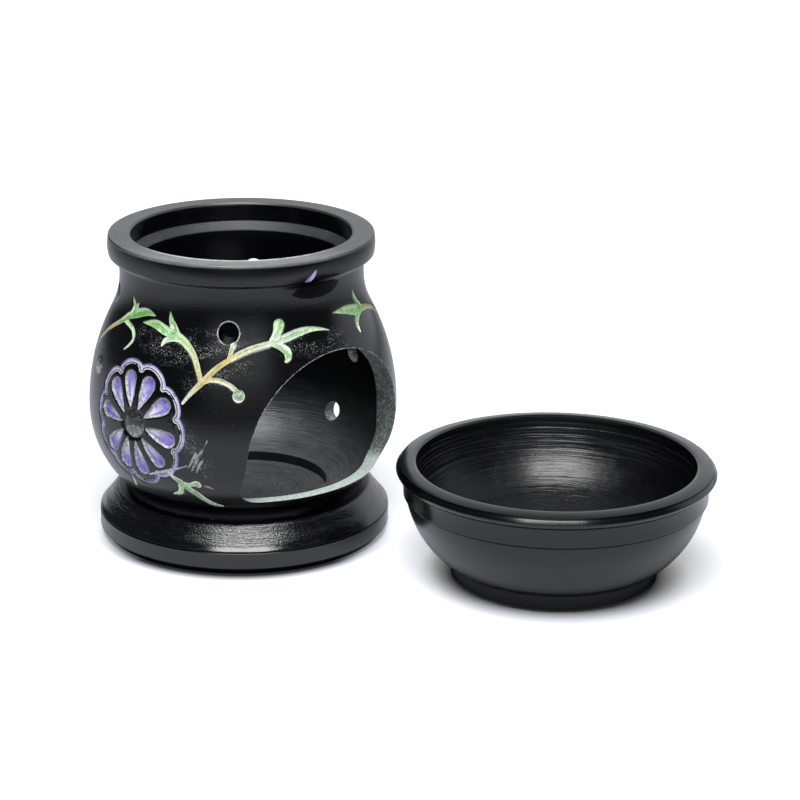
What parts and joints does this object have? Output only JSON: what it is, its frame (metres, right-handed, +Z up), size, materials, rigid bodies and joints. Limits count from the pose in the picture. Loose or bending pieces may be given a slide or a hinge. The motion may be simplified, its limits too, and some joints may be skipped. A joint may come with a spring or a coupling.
{
  "type": "essential oil burner",
  "caption": "Round-bellied stone oil burner on a moulded base, with an arched candle opening, air vents, carved flower and vines, and a loose oil bowl that seats in its mouth.",
  "frame": {"origin": "centre of the burner's foot, on the table", "axes": "+Z up along the burner's turning axis, -Y out of the candle opening, the bowl stands in front and to the right"},
  "size_m": [0.1256, 0.178, 0.0885],
  "materials": {
    "black_soapstone": "black wax, satin, brushed rings",
    "carved_soapstone": "black wax, satin, painted carving",
    "bowl_soapstone": "black wax, satin, turned grooves inside"
  },
  "bodies": {
    "burner": {"burner_base": "black_soapstone", "burner_pot": "carved_soapstone"},
    "bowl": {"oil_bowl": "bowl_soapstone"}
  },
  "joints": [
    {"name": "bowl_lift", "type": "slide", "parent": "burner", "child": "bowl", "axis": [0, 0, 1], "range_m": [0, 0.1]}
  ]
}
